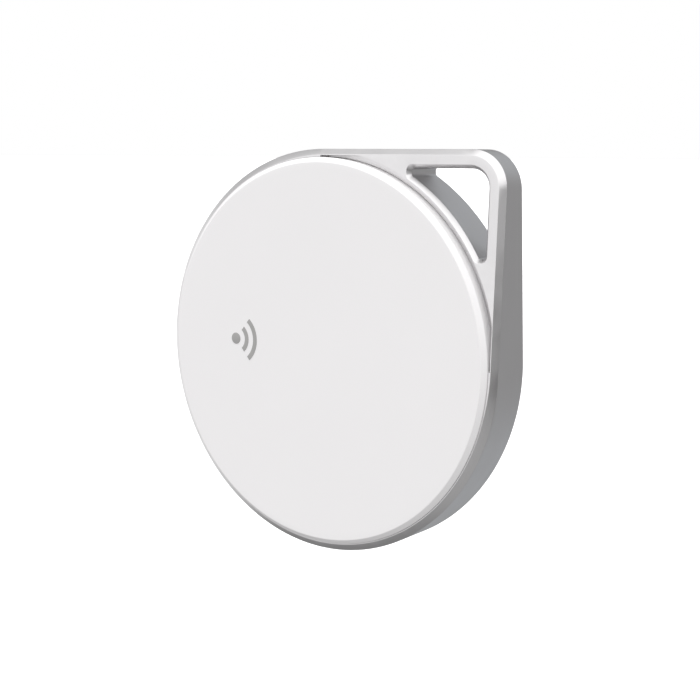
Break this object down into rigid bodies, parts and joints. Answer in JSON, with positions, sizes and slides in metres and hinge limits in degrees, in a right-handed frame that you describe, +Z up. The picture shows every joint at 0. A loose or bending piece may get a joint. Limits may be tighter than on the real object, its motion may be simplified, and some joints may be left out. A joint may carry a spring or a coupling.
{
  "type": "bluetooth tracker tag",
  "caption": "Round tracker tag: white pressed front in a satin metal frame whose corner is a key-ring loop, with a twist-off battery cover behind.",
  "frame": {"origin": "on the disc's axis, at half the tag's thickness", "axes": "-Y is the front, +Z is up as the tag hangs, +X is to the right seen from the front; the key-ring loop is in the +X +Z corner"},
  "size_m": [0.038, 0.0074, 0.038],
  "materials": {
    "frame_metal": "satin",
    "white_plastic": "satin",
    "grey_print": "matte",
    "grey_silicone": "matte",
    "clear_glue": "satin",
    "sounder_brass": "satin",
    "piezo_ceramic": "matte",
    "black_rubber": "matte",
    "cell_steel": "brushed",
    "board_resist": "gloss",
    "chip_epoxy": "matte",
    "contact_metal": "satin",
    "capacitor_ceramic": "matte",
    "screw_steel": "satin"
  },
  "bodies": {
    "tag_body": {"frame": "frame_metal", "front_seal": "grey_silicone", "carrier": "white_plastic", "carrier_glue": "clear_glue", "cell_can": "cell_steel", "cell_gasket": "black_rubber", "cell_cap": "cell_steel", "circuit_board": "board_resist", "radio_chip": "chip_epoxy", "driver_chip": "chip_epoxy", "crystal": "contact_metal", "antenna": "piezo_ceramic", "capacitors": "capacitor_ceramic", "board_screws": "screw_steel", "press_dome": "contact_metal", "positive_contact": "contact_metal", "negative_contact": "contact_metal", "sounder_contacts": "contact_metal"},
    "pressed_front": {"front_cover": "white_plastic", "front_mark": "grey_print", "sounder_glue": "clear_glue", "sounder_plate": "sounder_brass", "sounder_ceramic": "piezo_ceramic"},
    "twist_cover": {"battery_cover": "white_plastic", "cover_oring": "black_rubber"}
  },
  "joints": [
    {"name": "front_press", "type": "slide", "parent": "tag_body", "child": "pressed_front", "axis": [0, 1, 0], "range_m": [0, 0.00025], "stiffness_N_per_m": 1500, "springref_m": -0.0004, "deforming": ["front_seal", "press_dome", "sounder_contacts"]},
    {"name": "cover_twist", "type": "hinge", "parent": "tag_body", "child": "twist_cover", "pos_m": [0, 0.0037, 0], "axis": [0, 1, 0], "range_deg": [0, 25]}
  ]
}
